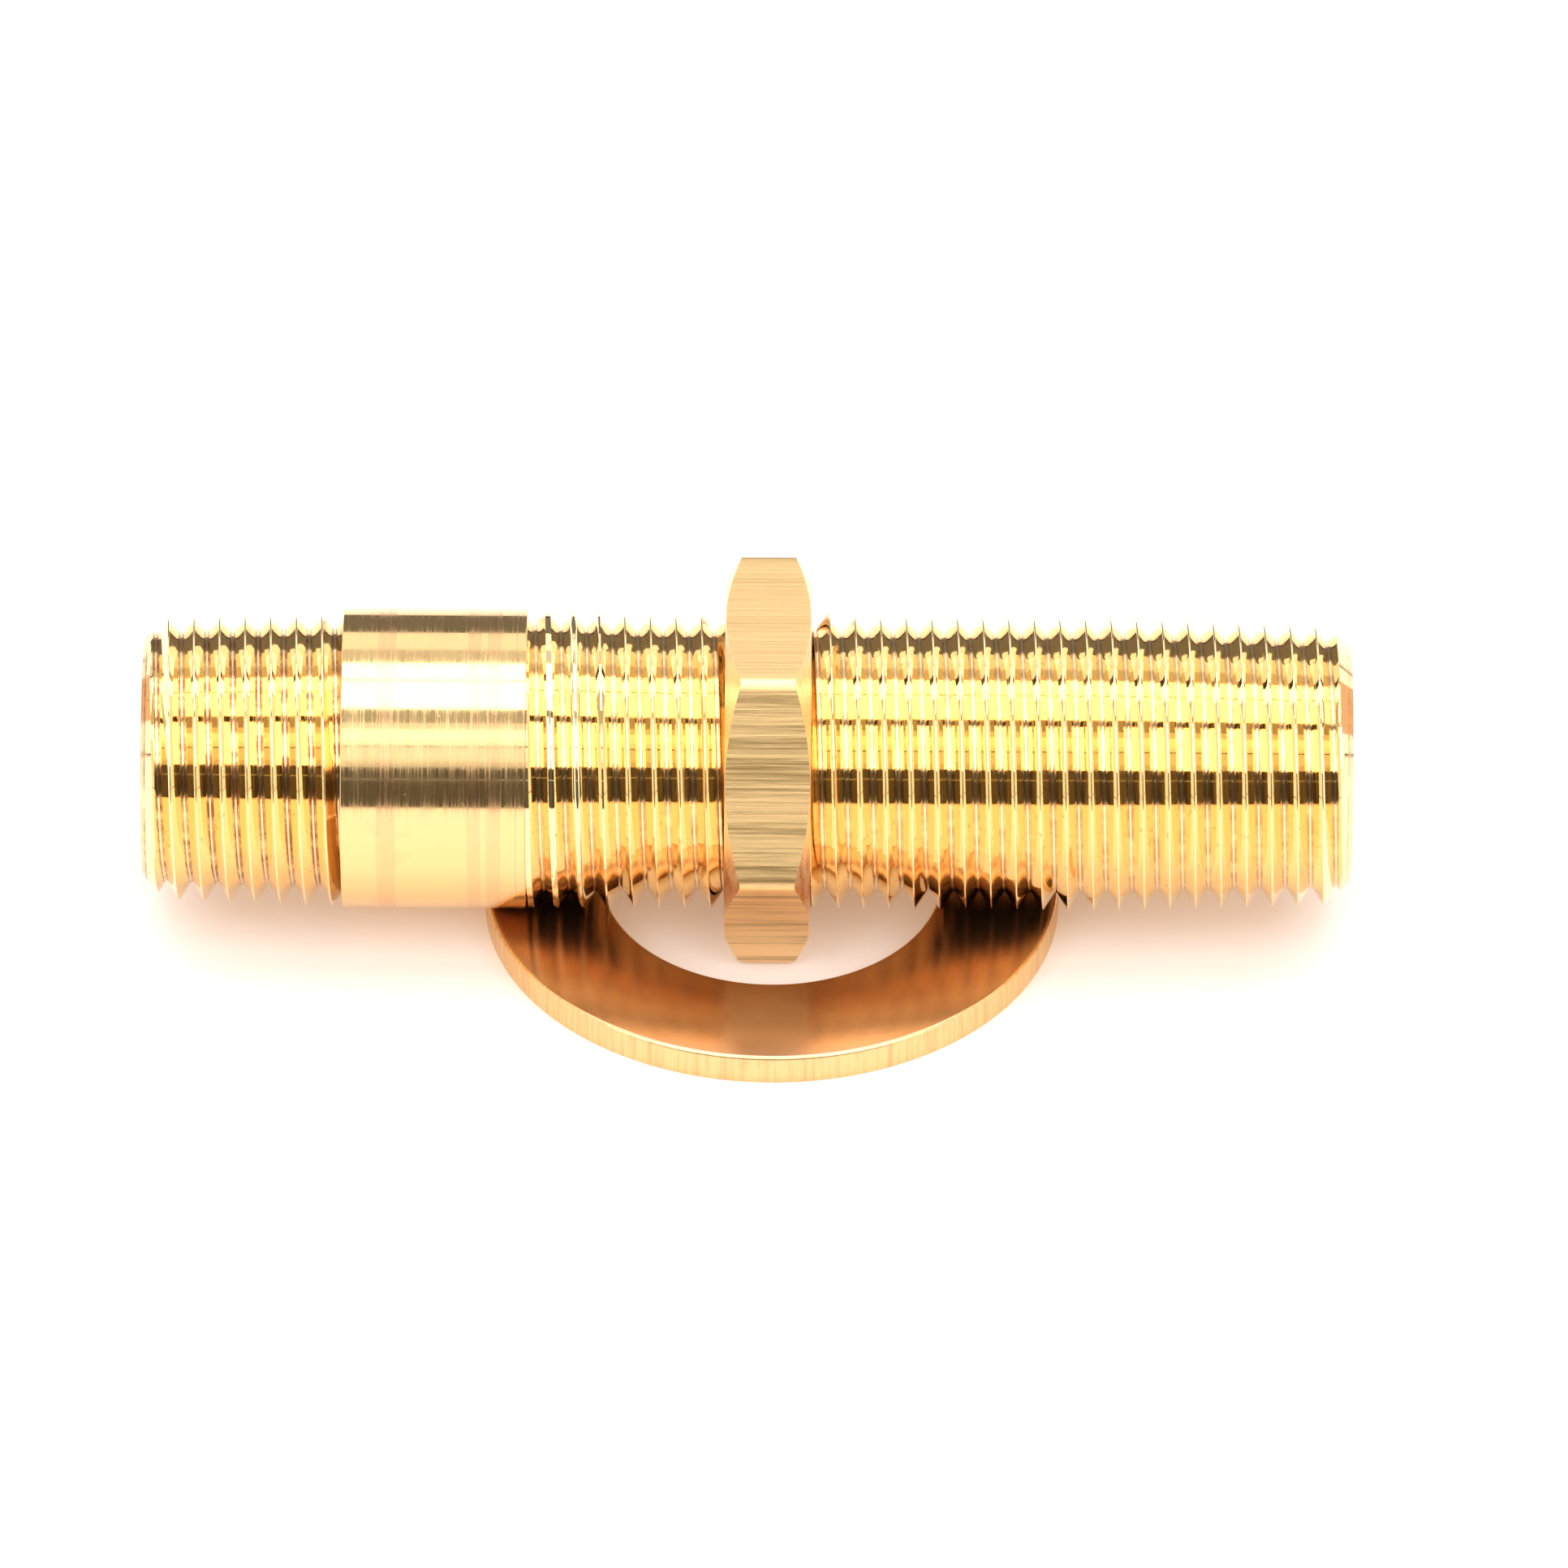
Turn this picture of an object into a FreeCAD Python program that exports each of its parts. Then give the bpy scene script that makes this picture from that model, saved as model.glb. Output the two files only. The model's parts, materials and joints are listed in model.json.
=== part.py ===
import FreeCAD, Part
import math
import os

V = FreeCAD.Vector

# Running pipe nipple of brass, with its locknut and a loose flat washer.
# Millimetres. X runs along the nipple, Z is up, z = 0 is the table, and the
# origin lies on the table below the middle of the nipple's length.

# Pipe thread: 14 turns to the inch, right-handed, straight or tapered 1 in 16
pitch = 25.4 / 14
taper = 1 / 32               # growth of radius per millimetre of length
thread_depth = 1.32
crest_r = 10.6
flats_per_turn = 28          # flats that stand for one turn of a flank
skin = 0.03                  # a thread's edge stays this far from the bar's surface

# Nipple
nipple_length = 85.7
barrel_r = 10.67             # half-inch pipe, 0.840 in outside
bore_r = 7.15
short_thread = 14.26         # tapered thread at the left end
barrel_length = 13.04
end_taper = 17.0             # last stretch of the long thread, which tapers too
left_face_r = 8.6
right_face_r = 8.45
end_chamfer = 2.1
bore_chamfer = 0.4
short_crest_x = 3.21         # from the left end to a crest on the far side
long_crest_x = 48.26

# Locknut
across_flats = 25.4
nut_thickness = 6.1
nut_x = 1.47                 # centre of the nut from the middle of the nipple
nut_chamfer_r = 12.6         # circle where each face meets its 30 degree chamfer
nut_corner_r = 0.45
thread_play = 0.2            # radial play of the nut on the thread

# Washer
washer_r = 20.5
washer_hole_r = 12.0
washer_thickness = 2.2
washer_edge = 0.3
washer_x = 1.81

# The nipple lies on the washer, so these two set the height of its axis
axis_z = washer_thickness + barrel_r
left_end = -nipple_length / 2
right_end = nipple_length / 2
barrel_start = left_end + short_thread
barrel_end = barrel_start + barrel_length


def between(x, stations):
    """Value at x on the broken line through the (x, value) stations."""
    if x <= stations[0][0]:
        return stations[0][1]
    for (x0, v0), (x1, v1) in zip(stations, stations[1:]):
        if x <= x1:
            return v0 + (v1 - v0) * (x - x0) / (x1 - x0)
    return stations[-1][1]


def thread_core(crest_x, low_x, high_x, root, overrun):
    """Solid core with a V thread on it from low_x to high_x, between plain ends.

    crest_x is any place where the crest passes the direction of +Y. root gives
    the radii at the bottom of the thread as (x, radius) stations, and the crest
    stands thread_depth above it. Each turn of a flank is a band of flats between
    the crest's helix and the root's. A plain end is overrun long at least.
    """
    n = flats_per_turn
    first_crest = crest_x + pitch * (math.floor((low_x - crest_x) / pitch) - 1)
    turns = math.ceil((high_x - first_crest) / pitch)

    def at(turn, height, shift):
        angle = 2 * math.pi * turn
        x = first_crest + pitch * (turn + shift)
        r = between(x, root) + height
        if abs(r - barrel_r) < skin:
            r = barrel_r - skin
        return V(x, r * math.cos(angle), r * math.sin(angle))

    def flat(*corners):
        return Part.Face(Part.makePolygon(list(corners) + [corners[0]]))

    crests = [at(i / n, thread_depth, 0) for i in range(n * (turns + 1) + 1)]
    roots = [at(i / n, 0, 0.5) for i in range(n * turns + 1)]
    faces = []
    for i in range(n * turns):
        faces.append(flat(crests[i], crests[i + 1], roots[i]))
        faces.append(flat(roots[i], crests[i + 1], roots[i + 1]))
        faces.append(flat(roots[i], roots[i + 1], crests[i + n]))
        faces.append(flat(crests[i + n], roots[i + 1], crests[i + n + 1]))

    # each plain end is a prism on the first or last turn of the crest
    first, last = crests[:n + 1], crests[-1 - n:]
    for rim, end_x in ((first, first[0].x - overrun), (last, last[-1].x + overrun)):
        disc = [V(end_x, p.y, p.z) for p in rim[:-1]]
        for i in range(n):
            side = [disc[i], disc[(i + 1) % n], rim[i + 1], rim[i]]
            if rim is first and i == n - 1:
                side.insert(2, rim[0])
            if rim is last and i == 0:
                side.append(rim[-1])
            faces.append(flat(*side))
        faces.append(flat(*disc))
    faces.append(flat(first[0], roots[0], first[-1]))
    faces.append(flat(last[0], roots[-1], last[-1]))

    shell = Part.Shell(faces)
    shell.sewShape()
    core = Part.Solid(shell)
    if core.Volume < 0:
        core.reverse()
    return core


def turned(*profile):
    """Solid turned about X from a closed outline of (x, radius) corners."""
    corners = [V(x, 0, r) for x, r in profile]
    face = Part.Face(Part.makePolygon(corners + [corners[0]]))
    return face.revolve(V(0, 0, 0), V(1, 0, 0), 360)


# Nipple: turned from one bar, with a short tapered thread, a plain barrel and
# a long running thread whose last turns taper like the short one
short_top = crest_r - thread_depth
short_root = [
    (left_end, short_top - short_thread * taper),
    (barrel_start, short_top),
]
short_core = thread_core(left_end + short_crest_x, left_end, barrel_start, short_root, 1.0)
short_blank = turned(
    (left_end, bore_r + bore_chamfer),
    (left_end, left_face_r),
    (left_end + end_chamfer, barrel_r),
    (barrel_start, barrel_r),
    (barrel_start, bore_r),
    (left_end + bore_chamfer, bore_r),
)

# The long thread starts shallow, its first crests cut off at the bar's surface
run_out = barrel_end + 0.6
thread_start = barrel_end - 1.0
long_root = [
    (thread_start, barrel_r + 0.2),
    (run_out, crest_r - 0.88),
    (run_out + pitch, crest_r - 0.95),
    (run_out + 2 * pitch, crest_r - 1.12),
    (run_out + 2.6 * pitch, crest_r - thread_depth),
    (right_end - end_taper, crest_r - thread_depth),
    (right_end, crest_r - thread_depth - end_taper * taper),
]
long_crest = left_end + long_crest_x
long_core = thread_core(long_crest, thread_start, right_end, long_root, barrel_length)
long_blank = turned(
    (barrel_start, bore_r),
    (barrel_start, barrel_r),
    (right_end - end_chamfer, barrel_r),
    (right_end, right_face_r),
    (right_end, bore_r + bore_chamfer),
    (right_end - bore_chamfer, bore_r),
)
nipple = short_blank.common(short_core).fuse(long_blank.common(long_core))

# Locknut: hexagon with chamfered faces, tapped with the same thread. One flat
# faces the table
half = nut_thickness / 2
corner_r = across_flats / 2 / math.cos(math.pi / 6)
hexagon = [V(nut_x - half, corner_r * math.cos(a), corner_r * math.sin(a))
           for a in [math.radians(60 * i) for i in range(7)]]
nut_body = Part.Face(Part.makePolygon(hexagon)).extrude(V(nut_thickness, 0, 0))
upright = [e for e in nut_body.Edges if abs(e.Vertexes[0].X - e.Vertexes[1].X) > half]
nut_body = nut_body.makeFillet(nut_corner_r, upright)
fall = (corner_r - nut_chamfer_r) * math.tan(math.radians(30))
nut_envelope = turned(
    (nut_x - half, 0),
    (nut_x - half, nut_chamfer_r),
    (nut_x - half + fall, corner_r),
    (nut_x + half - fall, corner_r),
    (nut_x + half, nut_chamfer_r),
    (nut_x + half, 0),
)
tap_r = crest_r - thread_depth + thread_play
tap = thread_core(long_crest, nut_x - half, nut_x + half, [(0, tap_r)], 1.0)
mouth_r = tap_r + thread_depth + 0.1
mouths = turned(
    (nut_x - half - 1, 0),
    (nut_x - half - 1, mouth_r + 1),
    (nut_x - half, mouth_r),
    (nut_x - half + mouth_r, 0),
)
mouths = mouths.fuse(mouths.mirror(V(nut_x, 0, 0), V(1, 0, 0)))
locknut = nut_body.common(nut_envelope).cut(tap).cut(mouths)

# Washer: stamped ring with its upper edges just rounded, flat on the table
washer = Part.makeCylinder(washer_r, washer_thickness)
washer = washer.cut(Part.makeCylinder(washer_hole_r, washer_thickness))
rims = [e for e in washer.Edges if len(e.Vertexes) == 1 and e.Vertexes[0].Z > washer_edge]
washer = washer.makeChamfer(washer_edge, rims)
washer.translate(V(washer_x, 0, 0))

nipple.translate(V(0, 0, axis_z))
locknut.translate(V(0, 0, axis_z))

os.makedirs("parts", exist_ok=True)
for name, shape in (("nipple", nipple), ("locknut", locknut), ("washer", washer)):
    shape.exportStep("parts/%s.step" % name)
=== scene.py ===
import json
import math

import bmesh
import bpy
from mathutils import Matrix, Vector

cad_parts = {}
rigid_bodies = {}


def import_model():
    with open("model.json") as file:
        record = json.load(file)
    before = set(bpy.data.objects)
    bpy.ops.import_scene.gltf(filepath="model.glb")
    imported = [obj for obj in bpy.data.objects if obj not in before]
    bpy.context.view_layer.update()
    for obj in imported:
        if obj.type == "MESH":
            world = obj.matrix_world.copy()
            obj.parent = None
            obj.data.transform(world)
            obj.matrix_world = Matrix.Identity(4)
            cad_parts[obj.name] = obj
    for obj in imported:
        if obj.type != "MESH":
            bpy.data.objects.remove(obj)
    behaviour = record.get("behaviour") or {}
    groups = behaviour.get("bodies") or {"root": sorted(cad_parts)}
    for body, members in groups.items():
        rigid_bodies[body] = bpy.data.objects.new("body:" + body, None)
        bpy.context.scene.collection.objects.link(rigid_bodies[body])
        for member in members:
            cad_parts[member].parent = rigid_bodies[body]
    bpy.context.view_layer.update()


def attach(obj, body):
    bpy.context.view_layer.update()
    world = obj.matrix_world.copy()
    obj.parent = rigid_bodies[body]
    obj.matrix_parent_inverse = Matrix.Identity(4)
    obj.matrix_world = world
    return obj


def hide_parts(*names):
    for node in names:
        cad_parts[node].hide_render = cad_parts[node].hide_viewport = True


# Blender opens with objects of its own, which aren't wanted
for left_over in list(bpy.data.objects):
    bpy.data.objects.remove(left_over)
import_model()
scene = bpy.context.scene


# Studio
# The nipple lies on a white table, in a dark room, below long white panels
# that run alongside it. Brass shows them as light and dark rows. Sizes are in metres.

def linear(hex_colour):
    """Linear red, green, blue and alpha of an sRGB hex colour."""
    parts = [int(hex_colour[i:i + 2], 16) / 255 for i in (1, 3, 5)]
    return [c / 12.92 if c <= 0.04045 else ((c + 0.055) / 1.055) ** 2.4 for c in parts] + [1.0]


def add_node(tree, kind, settings=None, **inputs):
    """Shader node of a kind, with its settings, and its inputs given as values or as sockets to link.

    An input is named by its label with underscores for spaces, or by n and its number.
    """
    node = tree.nodes.new("ShaderNode" + kind)
    for name, value in (settings or {}).items():
        setattr(node, name, value)
    for name, value in inputs.items():
        key = int(name[1:]) if name[0] == "n" and name[1:].isdigit() else name.replace("_", " ")
        socket = node.inputs[key]
        if isinstance(value, bpy.types.NodeSocket):
            tree.links.new(value, socket)
        else:
            socket.default_value = value
    return node


def new_material(name):
    """Empty node material and its output."""
    material = bpy.data.materials.new(name)
    material.use_nodes = True
    material.node_tree.nodes.clear()
    return material, add_node(material.node_tree, "OutputMaterial")


def grain_of(size):
    """Scale that gives a pattern grains about this many millimetres long."""
    return 1000 / size


table_size = 8.0
table_drop = 0.00002         # keeps the table's surface clear of the washer's
table_glow = 0.33
table_top = bmesh.new()
bmesh.ops.create_grid(table_top, x_segments=1, y_segments=1, size=table_size / 2)
bmesh.ops.translate(table_top, verts=table_top.verts, vec=(0, 0, -table_drop))
table_mesh = bpy.data.meshes.new("table")
table_top.to_mesh(table_mesh)
table_top.free()
table = bpy.data.objects.new("table", table_mesh)
scene.collection.objects.link(table)

# Matt white board. It glows a little to the camera and in reflections, warm as the
# light that brass throws round it, so that the table is white and keeps the shadow.
board, output = new_material("matt_white_board")
tree = board.node_tree
path = add_node(tree, "LightPath")
seen = add_node(tree, "Math", {"operation": "MAXIMUM"},
                n0=path.outputs["Is Camera Ray"], n1=path.outputs["Is Glossy Ray"])
seen = add_node(tree, "Math", {"operation": "MAXIMUM"},
                n0=seen.outputs[0], n1=path.outputs["Is Transmission Ray"])
glow = add_node(tree, "Math", {"operation": "MULTIPLY"}, n0=seen.outputs[0], n1=table_glow)
matt = add_node(tree, "BsdfDiffuse", Color=linear("#D3D5D8"))
light = add_node(tree, "Emission", Color=linear("#FFCBA2"), Strength=glow.outputs[0])
both = add_node(tree, "AddShader", n0=matt.outputs[0], n1=light.outputs[0])
tree.links.new(both.outputs[0], output.inputs["Surface"])
table_mesh.materials.append(board)

world = bpy.data.worlds.new("dark_room")
world.use_nodes = True
world.node_tree.nodes["Background"].inputs["Color"].default_value = linear("#FFE9CC")
world.node_tree.nodes["Background"].inputs["Strength"].default_value = 0.06
scene.world = world


def hang_panel(name, size, location, rotation, brightness, tint="#FFFFFF"):
    """Rectangular light of an even brightness that the camera doesn't see."""
    lamp = bpy.data.lights.new(name, "AREA")
    lamp.shape = "RECTANGLE"
    lamp.size, lamp.size_y = size
    lamp.color = linear(tint)[:3]
    lamp.energy = brightness * math.pi * lamp.size * lamp.size_y
    panel = bpy.data.objects.new(name, lamp)
    panel.location = location
    panel.rotation_euler = rotation
    panel.visible_camera = False
    scene.collection.objects.link(panel)


# Each panel runs along the nipple between two angles in degrees, counted from level
# on the camera's side up and over to the back. After them come the middle of its
# length, its length and its brightness. The rows of the front ones grow brighter
# upwards and fade again, and the wings are what the threads' slanting flanks mirror.
panel_distance = 1.1
for name, start, end, middle_x, length, brightness in (
    ("front_wall", 1.5, 30.6, 0.0, 0.36, 0.07),
    ("front_strip", 21.9, 22.3, 0.0, 2.2, 1.0),
    ("front_panel_1", 31.2, 36.0, 0.0, 0.26, 0.85),
    ("front_panel_2", 36.0, 46.6, 0.0, 0.26, 1.2),
    ("front_panel_3", 47.6, 52.0, 0.0, 0.26, 1.6),
    ("front_panel_4", 52.0, 60.0, 0.0, 0.26, 1.9),
    ("front_panel_5", 60.0, 65.0, 0.0, 0.26, 1.1),
    ("front_gap", 65.0, 75.8, 0.0, 0.26, 0.5),
    ("left_front_wing", 31.2, 70.0, -0.58, 0.9, 3.8),
    ("right_front_wing", 31.2, 70.0, 0.58, 0.9, 3.8),
    ("top_panel_front", 75.8, 99.0, 0.0, 1.1, 3.6),
    ("top_panel_back", 100.0, 115.4, 0.0, 1.1, 3.6),
    ("left_side", 70.5, 105.5, -0.9, 0.7, 0.7),
    ("right_side", 70.5, 105.5, 0.9, 0.7, 0.7),
    ("left_back_wing", 106.0, 122.0, -0.9, 0.7, 3.6),
    ("right_back_wing", 106.0, 122.0, 0.9, 0.7, 3.6),
    ("back_panel_high", 115.4, 129.0, 0.0, 1.1, 0.78),
    ("back_panel_low", 129.0, 149.8, 0.0, 2.2, 1.3),
    ("back_wall", 150.5, 177.0, 0.0, 2.2, 0.16),
):
    middle = math.radians((start + end) / 2)
    height = 2 * panel_distance * math.tan(math.radians(end - start) / 2)
    place = (middle_x, -panel_distance * math.cos(middle), panel_distance * math.sin(middle))
    hang_panel(name, (length, height), place, (math.pi / 2 - middle, 0, 0), brightness)

# Upright panels close the studio beyond the nipple's ends: two white ones with a
# dimmer, warmer one between them
end_panel_x = 1.3
end_panel_height = 1.2
end_panel_z = 0.62
for side in (-1, 1):
    for name, start_y, end_y, brightness, tint in (("end_panel_front", -1.3, 0.3, 1.3, "#FFFFFF"),
                                                   ("end_panel_middle", 0.3, 1.0, 0.9, "#FFCFAE"),
                                                   ("end_panel_back", 1.0, 2.6, 1.3, "#FFFFFF")):
        place = (end_panel_x * side, (start_y + end_y) / 2, end_panel_z)
        hang_panel(name, (end_y - start_y, end_panel_height), place,
                   (math.pi / 2, 0, side * math.pi / 2), brightness, tint)

# The camera looks along +Y and 38 degrees down from 1.3 m. The middle of its picture
# is a little right of the nipple's middle and below its axis.
axis_z = 0.01287             # the washer's thickness and the barrel's radius
elevation = math.radians(38.2)
camera_distance = 1.3
frame_width = 0.11148
right_of_middle = 0.00263
below_axis = 0.0017
roll = math.radians(0.38)
up_in_picture = Vector((0, math.sin(elevation), math.cos(elevation)))
aim = Vector((right_of_middle, 0, axis_z)) - below_axis * up_in_picture
camera_data = bpy.data.cameras.new("camera")
camera_data.sensor_width = 36
camera_data.lens = camera_data.sensor_width * camera_distance / frame_width
camera_data.clip_start = 0.05
camera_data.clip_end = 20
camera = bpy.data.objects.new("camera", camera_data)
camera.location = aim + camera_distance * Vector((0, -math.cos(elevation), math.sin(elevation)))
camera.rotation_euler = (math.pi / 2 - elevation, 0, 0)
camera.rotation_euler.rotate_axis("Z", roll)
scene.collection.objects.link(camera)
scene.camera = camera
scene.view_settings.view_transform = "Standard"


# Nipple
# Half-inch pipe nipple, turned from one brass bar: a short tapered thread, a
# plain barrel and a long running thread. The tool's marks run round it. Its sizes
# are in millimetres, as are the locknut's and the washer's.

pitch = 25.4 / 14
crest_r = 10.6
thread_depth = 1.32
root_r = crest_r - thread_depth
taper = 1 / 32               # growth of radius per millimetre of length
barrel_r = 10.67
bore_r = 7.15
bore_chamfer = 0.4
left_end, right_end = -42.85, 42.85
short_thread = 14.26
barrel_length = 13.04
barrel_start = left_end + short_thread
barrel_end = barrel_start + barrel_length
end_taper = 17.0             # last stretch of the long thread, which tapers too
end_chamfer = 2.1
left_face_r, right_face_r = 8.6, 8.45
short_crest_x = left_end + 3.21
long_crest_x = left_end + 48.26
edge_break = 0.05            # the shoulders' edges are broken by this much
steps_round = 108
weld_distance = 0.006        # less than any step of the thread's outline


def thread_outline():
    """One pitch of a 60 degree thread, with its flanks a little bulged towards the crest, as
    (x, height above the root) in mm."""
    crest = [(0.0, 0.0), (0.03, 0.003), (0.05, 0.018), (0.068, 0.044)]
    flank = [(0.2, 0.264), (0.35, 0.516), (0.5, 0.77), (0.65, 1.027)]
    root = [(0.785, 1.26), (0.825, 1.305), (0.86, 1.317)]
    half = [(x, thread_depth - drop) for x, drop in crest + flank + root]
    left = [(-x, h) for x, h in reversed(half)]
    return [(-pitch / 2, 0.0)] + left[:-1] + half + [(pitch / 2, 0.0)]


def thread_between(low_x, high_x, crest_x, root_radius):
    """Surface of a right-handed thread whose crest passes +Y at crest_x, as a bmesh.

    One turn is spun and copied along X to reach past both ends, and then cut off at them.
    """
    # the 0.5 is for the band's own ends, which climb round the axis as the crest does
    first_crest = crest_x - pitch * math.ceil((crest_x - low_x) / pitch + 0.5)
    turns = math.ceil((high_x - first_crest) / pitch + 0.5)
    bm = bmesh.new()
    verts = [bm.verts.new((first_crest + x, root_radius + h, 0)) for x, h in thread_outline()]
    edges = [bm.edges.new(pair) for pair in zip(verts, verts[1:])]
    bmesh.ops.spin(bm, geom=verts + edges, cent=(0, 0, 0), axis=(1, 0, 0),
                   dvec=(pitch / steps_round, 0, 0), angle=2 * math.pi, steps=steps_round,
                   use_merge=False, use_duplicate=False)
    one_turn = list(bm.verts) + list(bm.edges) + list(bm.faces)
    for turn in range(1, turns):
        copied = bmesh.ops.duplicate(bm, geom=one_turn)["geom"]
        bmesh.ops.translate(bm, vec=(turn * pitch, 0, 0),
                            verts=[v for v in copied if isinstance(v, bmesh.types.BMVert)])
    bmesh.ops.remove_doubles(bm, verts=bm.verts, dist=weld_distance)
    for x, low in ((low_x, True), (high_x, False)):
        bmesh.ops.bisect_plane(bm, geom=list(bm.verts) + list(bm.edges) + list(bm.faces), dist=1e-5,
                               plane_co=(x, 0, 0), plane_no=(1, 0, 0),
                               clear_inner=low, clear_outer=not low)
    return bm


def open_rim(bm, x):
    """The edges of the open rim at x."""
    return [e for e in bm.edges
            if len(e.link_faces) == 1 and all(abs(v.co.x - x) < 0.001 for v in e.verts)]


def set_radius(vert, radius):
    """Moves a vertex out from or in to the X axis."""
    factor = radius / math.hypot(vert.co.y, vert.co.z)
    vert.co.y *= factor
    vert.co.z *= factor


def step_rim(bm, rim, x, radius):
    """Extrudes an open rim to another x and radius, and gives the new rim."""
    made = bmesh.ops.extrude_edge_only(bm, edges=rim)["geom"]
    for v in [v for v in made if isinstance(v, bmesh.types.BMVert)]:
        v.co.x = x
        set_radius(v, radius)
    return [e for e in made if isinstance(e, bmesh.types.BMEdge) and len(e.link_faces) == 1]


def fill_ring(bm, outer, inner):
    """Flat ring between two open rims that lie in one plane across X."""
    bmesh.ops.triangle_fill(bm, edges=outer + inner, normal=(1, 0, 0),
                            use_beauty=True, use_dissolve=False)


def stand_across(bm, verts, x):
    """Turns flat points about the origin upright, across X, and moves them to x."""
    bmesh.ops.rotate(bm, verts=verts, cent=(0, 0, 0), matrix=Matrix.Rotation(math.pi / 2, 3, "Y"))
    bmesh.ops.translate(bm, verts=verts, vec=(x, 0, 0))


def between(x, stations):
    """Value at x on the broken line through the (x, value) stations."""
    if x <= stations[0][0]:
        return stations[0][1]
    for (x0, v0), (x1, v1) in zip(stations, stations[1:]):
        if x <= x1:
            return v0 + (v1 - v0) * (x - x0) / (x1 - x0)
    return stations[-1][1]


def turn_down(bm, root_line, bar_line):
    """Lays a thread's root on one line of (x, radius) and cuts its crests off at the bar's."""
    for v in bm.verts:
        height = math.hypot(v.co.y, v.co.z) - root_r
        set_radius(v, min(between(v.co.x, root_line) + height, between(v.co.x, bar_line)))


def piece_from(name, bm, lift, sharp_angle):
    """Object from a bmesh in mm that is raised by lift and shaded smooth but for its sharp edges."""
    bmesh.ops.scale(bm, vec=(0.001, 0.001, 0.001), verts=bm.verts)
    bmesh.ops.translate(bm, vec=(0, 0, lift), verts=bm.verts)
    bmesh.ops.recalc_face_normals(bm, faces=bm.faces)
    for face in bm.faces:
        face.smooth = True
    for edge in bm.edges:
        edge.smooth = edge.calc_face_angle(math.pi) < math.radians(sharp_angle)
    mesh = bpy.data.meshes.new(name)
    bm.to_mesh(mesh)
    bm.free()
    piece = bpy.data.objects.new(name, mesh)
    scene.collection.objects.link(piece)
    return piece


# The long thread starts at a shoulder, not quite as deep as it ends up, with its
# first crests cut off flat by the bar
long_start = barrel_end - 0.06        # where its shoulder stands
long_bm = thread_between(long_start, right_end, long_crest_x, root_r)
long_root = [(barrel_end + 0.45, crest_r - 0.97), (barrel_end + 2.3, crest_r - 1.02),
             (barrel_end + 4.1, crest_r - 1.1), (barrel_end + 6, crest_r - 1.2), (barrel_end + 8, root_r),
             (right_end - end_taper, root_r), (right_end, root_r - end_taper * taper)]
turn_down(long_bm, long_root, [(right_end - end_chamfer, barrel_r), (right_end, right_face_r)])
long_mesh = bpy.data.meshes.new("long_thread")
long_bm.to_mesh(long_mesh)
long_bm.free()

# The short thread tapers all the way from the shoulder to the left end
short_end = barrel_start - 0.1        # where its shoulder stands
nipple_bm = thread_between(left_end, short_end, short_crest_x, root_r)
short_root = [(left_end, root_r - short_thread * taper), (barrel_start, root_r)]
turn_down(nipple_bm, short_root, [(left_end, left_face_r), (left_end + end_chamfer, barrel_r)])
short_rim = open_rim(nipple_bm, short_end)
nipple_bm.from_mesh(long_mesh)
bpy.data.meshes.remove(long_mesh)

# Barrel, with a square shoulder over each thread
long_rim = open_rim(nipple_bm, long_start)
shoulder_r = barrel_r - edge_break
shoulder = bmesh.ops.create_circle(nipple_bm, segments=2 * steps_round, radius=shoulder_r)["verts"]
stand_across(nipple_bm, shoulder, long_start)
loop = [e for e in nipple_bm.edges if not e.link_faces]
rim = step_rim(nipple_bm, loop, long_start - edge_break, barrel_r)
rim = step_rim(nipple_bm, rim, short_end + edge_break, barrel_r)
rim = step_rim(nipple_bm, rim, short_end, shoulder_r)
fill_ring(nipple_bm, loop, long_rim)
fill_ring(nipple_bm, rim, short_rim)

# The bore, drilled through and chamfered at both end faces
right_rim = open_rim(nipple_bm, right_end)
rim = step_rim(nipple_bm, open_rim(nipple_bm, left_end), left_end, bore_r + bore_chamfer)
rim = step_rim(nipple_bm, rim, left_end + bore_chamfer, bore_r)
rim = step_rim(nipple_bm, rim, right_end - bore_chamfer, bore_r)
rim = step_rim(nipple_bm, rim, right_end, bore_r + bore_chamfer)
fill_ring(nipple_bm, right_rim, rim)
nipple = piece_from("nipple_turned", nipple_bm, axis_z, 40)
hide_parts("nipple")
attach(nipple, "nipple")

# How far each point of the threads stands above the root, in mm
heights = nipple.data.attributes.new("height_above_root", "FLOAT", "POINT")
for vert, height in zip(nipple.data.vertices, heights.data):
    x, y, z = vert.co * 1000
    root = short_root if x < barrel_start else long_root
    height.value = math.hypot(y, z - axis_z * 1000) - between(x, root)

# Free-cutting brass, turned and left bright. It mirrors its surroundings in crisp
# rows, with a haze over them from the tool's fine lines round the bar, and has
# dull bands where it was gripped, specks and faint stains.
turned_brass, output = new_material("turned_brass")
tree = turned_brass.node_tree
where = add_node(tree, "TexCoord")
fine = add_node(tree, "Mapping", Vector=where.outputs["Object"],
                Scale=(grain_of(0.09), grain_of(4), grain_of(4)))
fine_lines = add_node(tree, "TexNoise", Vector=fine.outputs[0], Scale=1.0, Detail=3.0, Roughness=0.7)
wide = add_node(tree, "Mapping", Vector=where.outputs["Object"],
                Scale=(grain_of(0.8), grain_of(9), grain_of(9)))
wide_lines = add_node(tree, "TexNoise", Vector=wide.outputs[0], Scale=1.0, Detail=3.0, Roughness=0.6)
lines = add_node(tree, "Math", {"operation": "MULTIPLY_ADD"},
                 n0=wide_lines.outputs["Fac"], n1=0.4, n2=fine_lines.outputs["Fac"])
haze = add_node(tree, "MapRange", Value=lines.outputs[0], n1=0.58, n2=0.95)
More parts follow.
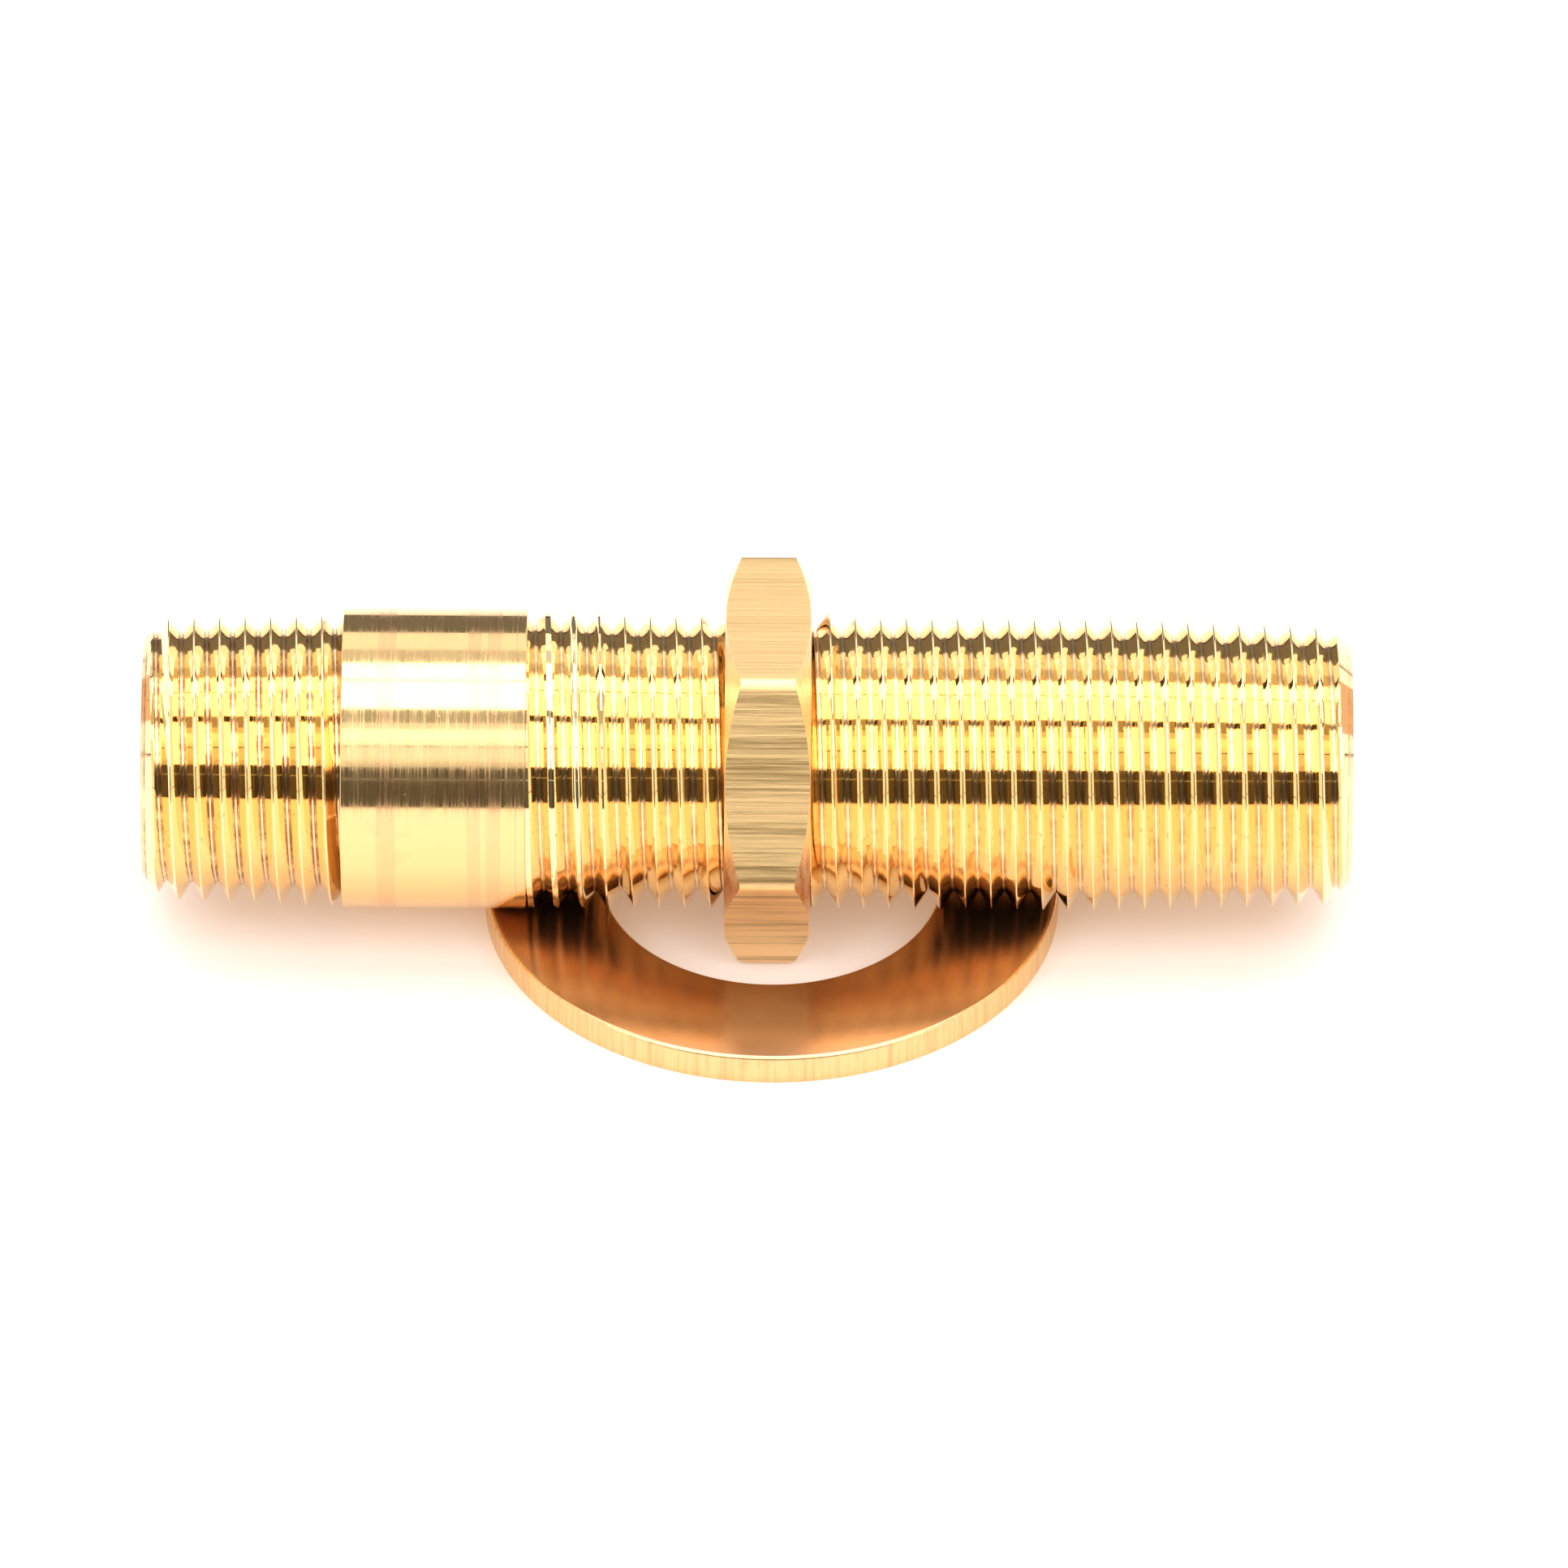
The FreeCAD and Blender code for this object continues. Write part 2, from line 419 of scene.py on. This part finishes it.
specks = add_node(tree, "TexNoise", Vector=where.outputs["Object"], Scale=grain_of(0.3), Detail=2.0)
speck = add_node(tree, "MapRange", Value=specks.outputs["Fac"], n1=0.66, n2=0.74)
haze = add_node(tree, "Math", {"operation": "MAXIMUM"}, n0=haze.outputs[0], n1=speck.outputs[0])
along = add_node(tree, "SeparateXYZ", Vector=where.outputs["Object"])
gripped = 0.0
for band_x, width in ((-25.5, 1.3), (-19.3, 0.95), (-17.9, 1.0), (-16.3, 0.12)):
    band = add_node(tree, "Math", {"operation": "COMPARE"},
                    n0=along.outputs["X"], n1=band_x / 1000, n2=width / 2000)
    gripped = add_node(tree, "Math", {"operation": "MAXIMUM"}, n0=band.outputs[0], n1=gripped).outputs[0]
haze = add_node(tree, "Math", {"operation": "MULTIPLY_ADD"}, n0=gripped, n1=0.15, n2=haze.outputs[0])
roughness = add_node(tree, "MapRange", Value=haze.outputs[0], n3=0.06, n4=0.27)
dull = add_node(tree, "Math", {"operation": "MULTIPLY"}, n0=gripped, n1=0.4)
colour = add_node(tree, "Mix", {"data_type": "RGBA"}, Factor=dull.outputs[0],
                  n6=linear("#F4CE90"), n7=linear("#E6B184"))
stains = add_node(tree, "TexNoise", Vector=where.outputs["Object"], Scale=grain_of(4),
                  Detail=6.0, Roughness=0.7)
stain = add_node(tree, "MapRange", Value=stains.outputs["Fac"], n1=0.52, n2=0.75, n3=0.0, n4=0.35)
colour = add_node(tree, "Mix", {"data_type": "RGBA"}, Factor=stain.outputs[0],
                  n6=colour.outputs[2], n7=linear("#D8966A"))
brass = add_node(tree, "BsdfPrincipled", Base_Color=colour.outputs[2], Metallic=1.0,
                 Roughness=roughness.outputs[0])
tree.links.new(brass.outputs[0], output.inputs["Surface"])

# The same brass as the die leaves it on the threads: polished flanks, with brown
# lines of burnt oil at the roots and odd specks. There is more oil on the short
# thread, and some in the corner at its shoulder.
threaded_brass, output = new_material("threaded_brass")
tree = threaded_brass.node_tree
where = add_node(tree, "TexCoord")
height = add_node(tree, "Attribute", {"attribute_name": "height_above_root"})
up = add_node(tree, "MapRange", Value=height.outputs["Fac"], n1=0.004, n2=0.02, n3=0.3)
down = add_node(tree, "MapRange", Value=height.outputs["Fac"], n1=0.04, n2=0.12, n3=1.0, n4=0.0)
root_line = add_node(tree, "Math", {"operation": "MINIMUM"}, n0=up.outputs[0], n1=down.outputs[0])
smears = add_node(tree, "TexNoise", Vector=where.outputs["Object"], Scale=grain_of(1.4),
                  Detail=4.0, Roughness=0.65)
smear = add_node(tree, "MapRange", Value=smears.outputs["Fac"], n1=0.35, n2=0.6, n3=0.15, n4=1.0)
along = add_node(tree, "SeparateXYZ", Vector=where.outputs["Object"])
left = add_node(tree, "MapRange", Value=along.outputs["X"],
                n1=-0.0286, n2=-0.0155, n3=1.0, n4=0.55)
oil = add_node(tree, "Math", {"operation": "MULTIPLY"}, n0=root_line.outputs[0], n1=smear.outputs[0])
oil = add_node(tree, "Math", {"operation": "MULTIPLY"}, n0=oil.outputs[0], n1=left.outputs[0])
spots = add_node(tree, "TexNoise", Vector=where.outputs["Object"], Scale=grain_of(0.6),
                 Detail=3.0, Roughness=0.6)
spot = add_node(tree, "MapRange", Value=spots.outputs["Fac"], n1=0.64, n2=0.74, n3=0.0, n4=0.4)
dirt = add_node(tree, "Math", {"operation": "MAXIMUM"}, n0=oil.outputs[0], n1=spot.outputs[0])
corner = add_node(tree, "MapRange", Value=along.outputs["X"],
                  n1=-0.02892, n2=-0.0287, n3=0.0, n4=0.45)
on_short = add_node(tree, "Math", {"operation": "LESS_THAN"}, n0=along.outputs["X"], n1=-0.0286)
corner = add_node(tree, "Math", {"operation": "MULTIPLY"}, n0=corner.outputs[0], n1=on_short.outputs[0])
dirt = add_node(tree, "Math", {"operation": "MAXIMUM"}, n0=dirt.outputs[0], n1=corner.outputs[0])
colour = add_node(tree, "Mix", {"data_type": "RGBA"}, Factor=dirt.outputs[0],
                  n6=linear("#FDE2B0"), n7=linear("#8A4A2C"))
fine = add_node(tree, "Mapping", Vector=where.outputs["Object"],
                Scale=(grain_of(0.1), grain_of(6), grain_of(6)))
die_lines = add_node(tree, "TexNoise", Vector=fine.outputs[0], Scale=1.0, Detail=3.0, Roughness=0.6)
haze = add_node(tree, "MapRange", Value=die_lines.outputs["Fac"], n1=0.5, n2=0.75, n3=0.035, n4=0.16)
roughness = add_node(tree, "Math", {"operation": "MULTIPLY_ADD"},
                     n0=dirt.outputs[0], n1=0.25, n2=haze.outputs[0])
brass = add_node(tree, "BsdfPrincipled", Base_Color=colour.outputs[2], Metallic=1.0,
                 Roughness=roughness.outputs[0])
tree.links.new(brass.outputs[0], output.inputs["Surface"])

# The barrel, the bore and the end faces are turned, and the rest is threaded
for material in (turned_brass, threaded_brass):
    nipple.data.materials.append(material)
for face in nipple.data.polygons:
    x, y, z = face.center * 1000
    inner = math.hypot(y, z - axis_z * 1000) < bore_r + 1 or abs(x) > right_end - 0.01
    face.material_index = 0 if inner or short_end < x < long_start else 1


# Locknut
# Hexagon brass bar cut off and faced, with both faces chamfered at 30 degrees
# and its hole tapped. It screws along the long thread.

across_flats = 25.4
corner_r = across_flats / 2 / math.cos(math.pi / 6)
corner_rounding = 0.45
nut_x = 1.47
nut_half = 3.05              # half its thickness
nut_chamfer_r = 12.6
nut_chamfer_angle = math.radians(30)
thread_play = 0.2
tap_r = root_r + thread_play
mouth_r = tap_r + thread_depth + 0.1

# The tapped thread, with a chamfered mouth at each face
nut_bm = thread_between(nut_x - nut_half, nut_x + nut_half, long_crest_x, tap_r)
for v in nut_bm.verts:
    depth = nut_half - abs(v.co.x - nut_x)
    set_radius(v, max(math.hypot(v.co.y, v.co.z), mouth_r - depth))
left_mouth = open_rim(nut_bm, nut_x - nut_half)
right_mouth = open_rim(nut_bm, nut_x + nut_half)

# Six flats, rounded where they meet, in many steps round, so that each flat
# ends in the curve that the lathe's chamfer leaves on it
hexagon = bmesh.ops.create_circle(nut_bm, segments=6, radius=corner_r)["verts"]
stand_across(nut_bm, hexagon, nut_x)
bmesh.ops.bevel(nut_bm, geom=hexagon, affect="VERTICES", offset=corner_rounding,
                offset_type="OFFSET", segments=4, profile=0.5, material=-1)
flats = [e for e in nut_bm.edges if not e.link_faces and e.calc_length() > across_flats / 5]
bmesh.ops.subdivide_edges(nut_bm, edges=flats, cuts=31)
left_loop = [e for e in nut_bm.edges if not e.link_faces]
made = bmesh.ops.extrude_edge_only(nut_bm, edges=left_loop)["geom"]
right_loop = [e for e in made if isinstance(e, bmesh.types.BMEdge) and len(e.link_faces) == 1]
for side, rim, mouth in ((-1, left_loop, left_mouth), (1, right_loop, right_mouth)):
    for v in {v for e in rim for v in e.verts}:
        fall = (math.hypot(v.co.y, v.co.z) - nut_chamfer_r) * math.tan(nut_chamfer_angle)
        v.co.x = nut_x + side * (nut_half - fall)
    rim = step_rim(nut_bm, rim, nut_x + side * nut_half, nut_chamfer_r)
    fill_ring(nut_bm, rim, mouth)
locknut = piece_from("locknut_hexagon", nut_bm, axis_z, 25)
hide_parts("locknut")
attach(locknut, "locknut")

# Hexagon brass bar: straight scratches along the flats from the drawing die, which
# spread reflections up and down. Their dark streaks are painted into the colour as
# painted shade, and are painted fainter on flats that face up.
drawn_brass, output = new_material("drawn_brass")
tree = drawn_brass.node_tree
where = add_node(tree, "TexCoord")
fine = add_node(tree, "Mapping", Vector=where.outputs["Object"],
                Scale=(grain_of(12), grain_of(0.25), grain_of(0.25)))
scratches = add_node(tree, "TexNoise", Vector=fine.outputs[0], Scale=1.0, Detail=4.0, Roughness=0.7)
wide = add_node(tree, "Mapping", Vector=where.outputs["Object"],
                Scale=(grain_of(60), grain_of(1.6), grain_of(1.6)))
streaks = add_node(tree, "TexNoise", Vector=wide.outputs[0], Scale=1.0, Detail=3.0, Roughness=0.6)
relief = add_node(tree, "Math", {"operation": "MULTIPLY_ADD"},
                  n0=streaks.outputs["Fac"], n1=1.2, n2=scratches.outputs["Fac"])
grooves = add_node(tree, "Bump", Height=relief.outputs[0], Strength=0.4, Distance=0.00006)
facing = add_node(tree, "SeparateXYZ", Vector=where.outputs["Normal"])
# painted shade: the streaks darken the colour, and darken it less on flats that face up
painted_shade_by_facing = add_node(tree, "MapRange", Value=facing.outputs["Z"], n1=0.55, n2=0.9, n3=1.0, n4=0.2)
dark = add_node(tree, "MapRange", Value=relief.outputs[0], n1=1.05, n2=1.35, n3=0.0, n4=0.85)
dark = add_node(tree, "Math", {"operation": "MULTIPLY"}, n0=dark.outputs[0], n1=painted_shade_by_facing.outputs[0])
colour = add_node(tree, "Mix", {"data_type": "RGBA"}, Factor=dark.outputs[0],
                  n6=linear("#F1CB8F"), n7=linear("#8E7142"))
brass = add_node(tree, "BsdfPrincipled", Base_Color=colour.outputs[2], Metallic=1.0,
                 Roughness=0.36, Normal=grooves.outputs[0])
tree.links.new(brass.outputs[0], output.inputs["Surface"])

# The locknut's chamfers, faces and thread, turned smooth
faced_brass, output = new_material("faced_brass")
tree = faced_brass.node_tree
where = add_node(tree, "TexCoord")
fine = add_node(tree, "Mapping", Vector=where.outputs["Object"],
                Scale=(grain_of(0.25), grain_of(2), grain_of(2)))
turning = add_node(tree, "TexNoise", Vector=fine.outputs[0], Scale=1.0, Detail=3.0, Roughness=0.6)
haze = add_node(tree, "MapRange", Value=turning.outputs["Fac"], n1=0.35, n2=0.65, n3=0.2, n4=0.36)
brass = add_node(tree, "BsdfPrincipled", Base_Color=linear("#F3CFA0"), Metallic=1.0,
                 Roughness=haze.outputs[0])
tree.links.new(brass.outputs[0], output.inputs["Surface"])

# The six flats are drawn, and the rest is turned
for material in (drawn_brass, faced_brass):
    locknut.data.materials.append(material)
for face in locknut.data.polygons:
    x, y, z = face.center * 1000
    on_flat = abs(face.normal.x) < 0.1 and math.hypot(y, z - axis_z * 1000) > nut_chamfer_r - 0.5
    face.material_index = 0 if on_flat else 1


# Washer
# Flat ring stamped from brass sheet, so its upper rim is rolled over a little
# and its edge is plain. It lies loose on the table round the locknut's foot.

washer_x = 1.81
washer_r, washer_hole_r = 20.5, 12.0
washer_thickness = 2.2
washer_edge = 0.3            # rounding of the upper rims
washer_steps = 240

washer_bm = bmesh.new()
corners = [washer_bm.verts.new((r, 0, z)) for r, z in ((washer_hole_r, 0), (washer_r, 0),
                                                      (washer_r, washer_thickness),
                                                      (washer_hole_r, washer_thickness))]
for i in range(4):
    washer_bm.edges.new((corners[i], corners[(i + 1) % 4]))
bmesh.ops.bevel(washer_bm, geom=corners[2:], affect="VERTICES", offset=washer_edge,
                offset_type="OFFSET", segments=4, profile=0.5, material=-1)
bmesh.ops.spin(washer_bm, geom=list(washer_bm.verts) + list(washer_bm.edges), cent=(0, 0, 0),
               axis=(0, 0, 1), dvec=(0, 0, 0), angle=2 * math.pi, steps=washer_steps,
               use_merge=True, use_duplicate=False)
bmesh.ops.remove_doubles(washer_bm, verts=washer_bm.verts, dist=0.001)
bmesh.ops.translate(washer_bm, verts=washer_bm.verts, vec=(washer_x, 0, 0))
washer = piece_from("washer_stamped", washer_bm, 0, 40)
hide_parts("washer")
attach(washer, "washer")

# Rolled brass sheet, tumbled: satin, so that the threads above show in it only as soft
# streaks. Its dull brown is partly the sheet's own tint and partly painted shade,
# standing for the dark threads and locknut that its top mirrors.
sheet_brass, output = new_material("rolled_sheet_brass_painted_shade")
tree = sheet_brass.node_tree
where = add_node(tree, "TexCoord")
clouds = add_node(tree, "TexNoise", Vector=where.outputs["Object"], Scale=grain_of(7), Detail=4.0)
cloud = add_node(tree, "MapRange", Value=clouds.outputs["Fac"], n1=0.35, n2=0.65)
# painted shade: the sheet's colour is darkened to brown for what its top mirrors
colour = add_node(tree, "Mix", {"data_type": "RGBA"}, Factor=cloud.outputs[0],
                  n6=linear("#B69379"), n7=linear("#C2A18A"))
grain = add_node(tree, "TexNoise", Vector=where.outputs["Object"], Scale=grain_of(0.22),
                 Detail=3.0, Roughness=0.6)
dents = add_node(tree, "Bump", Height=grain.outputs["Fac"], Strength=0.2, Distance=0.00002)
brass = add_node(tree, "BsdfPrincipled", Base_Color=colour.outputs[2], Metallic=1.0,
                 Roughness=0.24, Normal=dents.outputs[0])
tree.links.new(brass.outputs[0], output.inputs["Surface"])

# The rim, bright where the punch sheared it, with fine marks across its thickness
sheared_brass, output = new_material("sheared_brass")
tree = sheared_brass.node_tree
where = add_node(tree, "TexCoord")
across = add_node(tree, "Mapping", Vector=where.outputs["Object"],
                  Scale=(grain_of(0.4), grain_of(0.4), grain_of(6)))
marks = add_node(tree, "TexNoise", Vector=across.outputs[0], Scale=1.0, Detail=3.0, Roughness=0.6)
mark = add_node(tree, "MapRange", Value=marks.outputs["Fac"], n1=0.45, n2=0.72, n3=0.0, n4=0.6)
colour = add_node(tree, "Mix", {"data_type": "RGBA"}, Factor=mark.outputs[0],
                  n6=linear("#EDC88E"), n7=linear("#CF9A64"))
shear = add_node(tree, "Bump", Height=marks.outputs["Fac"], Strength=0.3, Distance=0.00004)
brass = add_node(tree, "BsdfPrincipled", Base_Color=colour.outputs[2], Metallic=1.0,
                 Roughness=0.3, Normal=shear.outputs[0])
tree.links.new(brass.outputs[0], output.inputs["Surface"])

# The flat sides are sheet, and the rounded rims and the edges are sheared
for material in (sheet_brass, sheared_brass):
    washer.data.materials.append(material)
for face in washer.data.polygons:
    face.material_index = 1 if abs(face.normal.z) < 0.9 else 0
